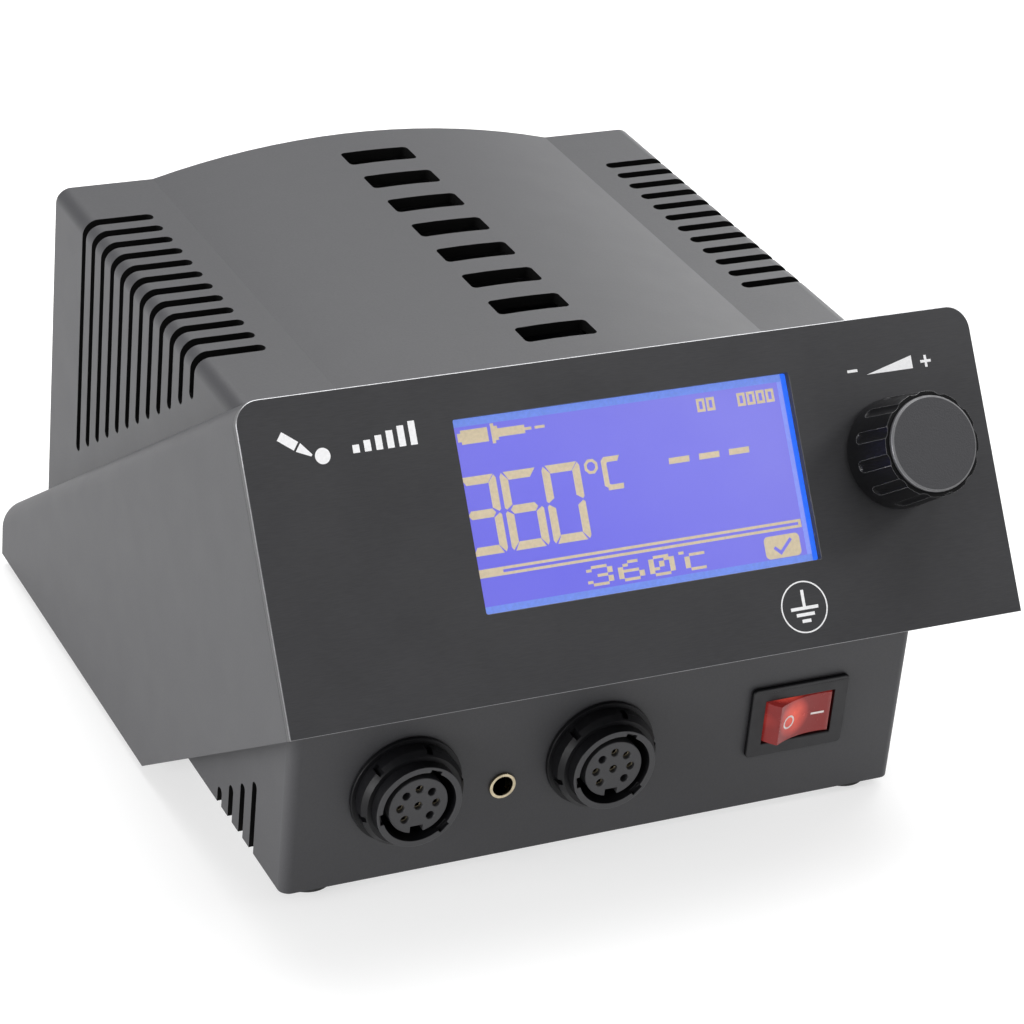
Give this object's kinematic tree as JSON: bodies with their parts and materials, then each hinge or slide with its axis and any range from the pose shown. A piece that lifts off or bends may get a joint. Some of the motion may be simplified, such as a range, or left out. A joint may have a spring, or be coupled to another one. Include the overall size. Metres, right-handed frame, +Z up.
{
  "type": "soldering iron station",
  "caption": "Soldering station: a sloping display hood with a push-and-turn knob over a vented housing with round tool sockets, an earth jack and a rocker power switch.",
  "frame": {"origin": "on the table under the middle of the station's box", "axes": "+X right seen from the front, +Y towards the rear panel, +Z up"},
  "size_m": [0.145, 0.1504, 0.0959],
  "materials": {
    "housing_plastic": "satin, very fine moulded texture",
    "panel_black": "satin black paint",
    "base_steel": "plain zinc-plated sheet",
    "fascia_black": "black anodised, brushed across",
    "lens_clear": "clear, polished",
    "display_blue": "backlit blue",
    "frame_steel": "stamped sheet",
    "diffuser_white": "translucent white",
    "board_green": "solder mask",
    "zinc_steel": "zinc plated",
    "knob_black": "semi-gloss",
    "knob_cap": "fine spark texture",
    "socket_black": "semi-gloss",
    "insert_grey": "satin",
    "brass": "plated, slightly dull",
    "rocker_red": "translucent red",
    "tin_brass": "tinned",
    "fuse_glass": "glass tube with metal caps",
    "laminations": "stacked varnished sheets",
    "copper_winding": "enamelled copper wire",
    "sink_aluminium": "extruded",
    "component_black": "moulded epoxy",
    "sleeve_blue": "shrink sleeve",
    "terminal_green": "moulded",
    "ribbon_grey": "ribbed flat cable",
    "rubber_black": "matt"
  },
  "bodies": {
    "station": {"housing_cover": "housing_plastic", "base_plate": "base_steel", "rear_panel": "panel_black", "front_hood": "housing_plastic", "fascia_plate": "fascia_black", "display_lens": "lens_clear", "lcd_cell": "display_blue", "lcd_frame": "frame_steel", "backlight": "diffuser_white", "control_board": "board_green", "control_board_screws": "zinc_steel", "encoder_body": "frame_steel", "encoder_nut": "zinc_steel", "left_socket_shell": "socket_black", "right_socket_shell": "socket_black", "left_socket_ring": "socket_black", "right_socket_ring": "socket_black", "left_socket_insert": "insert_grey", "right_socket_insert": "insert_grey", "left_socket_contacts": "brass", "right_socket_contacts": "brass", "earth_jack": "brass", "earth_jack_nut": "zinc_steel", "switch_housing": "socket_black", "switch_terminals": "tin_brass", "mains_inlet": "socket_black", "inlet_pins": "tin_brass", "interface_socket": "zinc_steel", "interface_insert": "component_black", "transformer_core": "laminations", "transformer_winding": "copper_winding", "transformer_bracket": "base_steel", "transformer_screws": "zinc_steel", "main_board": "board_green", "board_standoffs": "brass", "heat_sink": "sink_aluminium", "power_transistors": "component_black", "capacitors": "sleeve_blue", "terminal_block": "terminal_green", "buzzer": "component_black", "ribbon_cable": "ribbon_grey", "rubber_feet": "rubber_black", "base_screws": "zinc_steel", "rear_panel_screws": "zinc_steel", "hood_screws": "zinc_steel"},
    "encoder_press": {"encoder_plunger": "component_black"},
    "knob": {"knob": "knob_black", "knob_cap": "knob_cap", "encoder_shaft": "zinc_steel"},
    "rocker": {"switch_rocker": "rocker_red"},
    "drawer": {"fuse_drawer": "socket_black", "fuse": "fuse_glass"}
  },
  "joints": [
    {"name": "knob_press", "type": "slide", "parent": "station", "child": "encoder_press", "axis": [0, 0.8192, -0.5736], "range_m": [0, 0.0006], "stiffness_N_per_m": 4000, "springref_m": -0.0003},
    {"name": "knob_turn", "type": "hinge", "parent": "encoder_press", "child": "knob", "pos_m": [0.05185, -0.05659, 0.07509], "axis": [0, -0.8192, 0.5736], "continuous": true},
    {"name": "power_rocker", "type": "hinge", "parent": "station", "child": "rocker", "pos_m": [0.0398, -0.052, 0.0206], "axis": [0, 0, -1], "range_deg": [0, 20]},
    {"name": "fuse_drawer_slide", "type": "slide", "parent": "station", "child": "drawer", "axis": [0, 1, 0], "range_m": [0, 0.018]}
  ]
}
